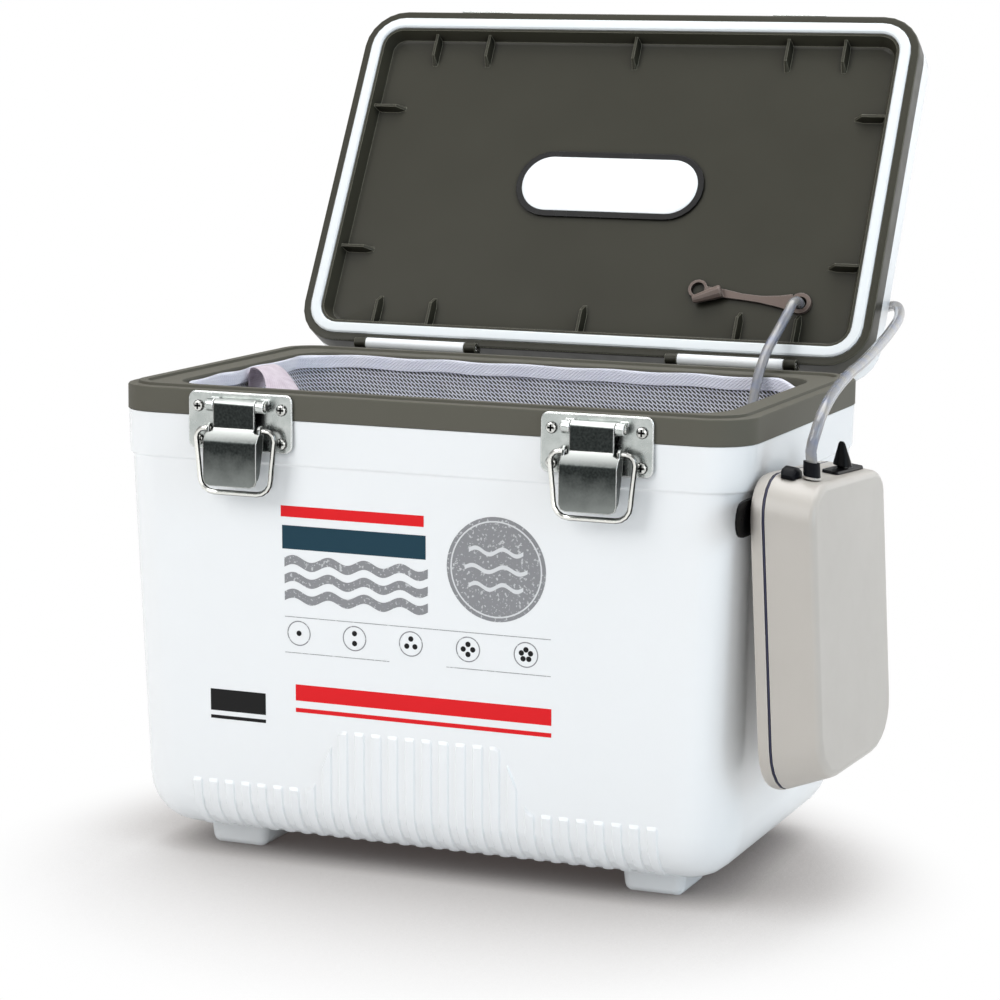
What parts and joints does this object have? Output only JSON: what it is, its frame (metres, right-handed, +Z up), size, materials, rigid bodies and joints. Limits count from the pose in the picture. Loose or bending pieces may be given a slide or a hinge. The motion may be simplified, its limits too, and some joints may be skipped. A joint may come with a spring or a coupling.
{
  "type": "insulated live bait cooler",
  "caption": "Insulated live-bait box with a hinged gasketed lid, wire-bail draw latches, hung net, and a battery air pump on its side with a hose through the lid.",
  "frame": {"origin": "on the ground under the middle of the box around every piece but the hose and its stone", "axes": "+Z up, -Y out of the front with the latches, +X towards the side with the pump"},
  "size_m": [0.3484, 0.3243, 0.3922],
  "materials": {
    "white_polyethylene": "moulded, satin",
    "taupe_polyethylene": "moulded, satin",
    "foam": "closed-cell insulation",
    "gasket_rubber": "smooth",
    "stainless_sheet": "stamped and tumbled",
    "stainless_wire": "polished",
    "net_mesh": "knitted mesh",
    "net_webbing": "woven",
    "pump_plastic": "moulded",
    "pump_seal_rubber": "smooth",
    "black_plastic": "moulded",
    "black_rubber": "moulded",
    "brown_rubber": "moulded",
    "clear_hose": "translucent",
    "plate_white": "printed",
    "air_stone": "porous",
    "cell_jacket": "wrapped",
    "motor_steel": "plated",
    "contact_metal": "plated"
  },
  "bodies": {
    "tub": {"tub_shell": "white_polyethylene", "tub_liner": "taupe_polyethylene", "tub_foam": "foam", "net_bag": "net_mesh", "net_hem": "net_webbing", "net_strap": "net_webbing", "hinge_block_left": "white_polyethylene", "hinge_block_right": "white_polyethylene", "hinge_pin_left": "stainless_wire", "hinge_pin_right": "stainless_wire", "pump_back_shell": "pump_plastic", "pump_front_shell": "pump_plastic", "pump_seal": "pump_seal_rubber", "pump_nipple": "pump_plastic", "hose_sleeve": "black_rubber", "jack_plug": "black_rubber", "switch_bezel": "black_plastic", "pump_motor": "motor_steel", "pump_head": "black_plastic", "cell_1": "cell_jacket", "cell_2": "cell_jacket", "cell_contacts": "contact_metal", "pump_hanger": "black_plastic", "air_hose": "clear_hose", "air_stone": "air_stone", "latch_plate_left": "stainless_sheet", "latch_pin_left": "stainless_wire", "latch_plate_right": "stainless_sheet", "latch_pin_right": "stainless_wire", "latch_screw_1": "stainless_wire", "latch_screw_2": "stainless_wire", "latch_screw_3": "stainless_wire", "latch_screw_4": "stainless_wire", "latch_screw_5": "stainless_wire", "latch_screw_6": "stainless_wire", "latch_screw_7": "stainless_wire", "latch_screw_8": "stainless_wire", "hinge_screw_1": "stainless_wire", "hinge_screw_2": "stainless_wire", "hinge_screw_3": "stainless_wire", "hinge_screw_4": "stainless_wire"},
    "lid": {"lid_liner": "taupe_polyethylene", "lid_shell": "white_polyethylene", "lid_foam": "foam", "lid_gasket": "gasket_rubber", "lid_plate": "plate_white", "hose_grommet": "brown_rubber", "keeper_left": "stainless_sheet", "keeper_right": "stainless_sheet"},
    "lever_left": {"latch_lever_left": "stainless_sheet"},
    "bail_left": {"latch_bail_left": "stainless_wire"},
    "lever_right": {"latch_lever_right": "stainless_sheet"},
    "bail_right": {"latch_bail_right": "stainless_wire"},
    "switch": {"switch_lever": "black_plastic"}
  },
  "joints": [
    {"name": "lid_hinge", "type": "hinge", "parent": "tub", "child": "lid", "pos_m": [-0.02264, 0.04306, 0.2236], "axis": [-1, 0, 0], "range_deg": [-119.84, 0], "deforming": ["air_hose"]},
    {"name": "lever_left_pin", "type": "hinge", "parent": "tub", "child": "lever_left", "pos_m": [-0.10864, -0.15564, 0.2146], "axis": [-1, 0, 0], "range_deg": [0, 150]},
    {"name": "bail_left_pivot", "type": "hinge", "parent": "lever_left", "child": "bail_left", "pos_m": [-0.10864, -0.15704, 0.204], "axis": [1, 0, 0], "range_deg": [-189.8, 0]},
    {"name": "lever_right_pin", "type": "hinge", "parent": "tub", "child": "lever_right", "pos_m": [0.06336, -0.15564, 0.2146], "axis": [-1, 0, 0], "range_deg": [0, 150]},
    {"name": "bail_right_pivot", "type": "hinge", "parent": "lever_right", "child": "bail_right", "pos_m": [0.06336, -0.15704, 0.204], "axis": [1, 0, 0], "range_deg": [-189.8, 0]},
    {"name": "switch_toggle", "type": "hinge", "parent": "tub", "child": "switch", "pos_m": [0.15512, -0.08588, 0.19429], "axis": [0.9944, -0.087, 0.0593], "range_deg": [-10, 10]}
  ]
}
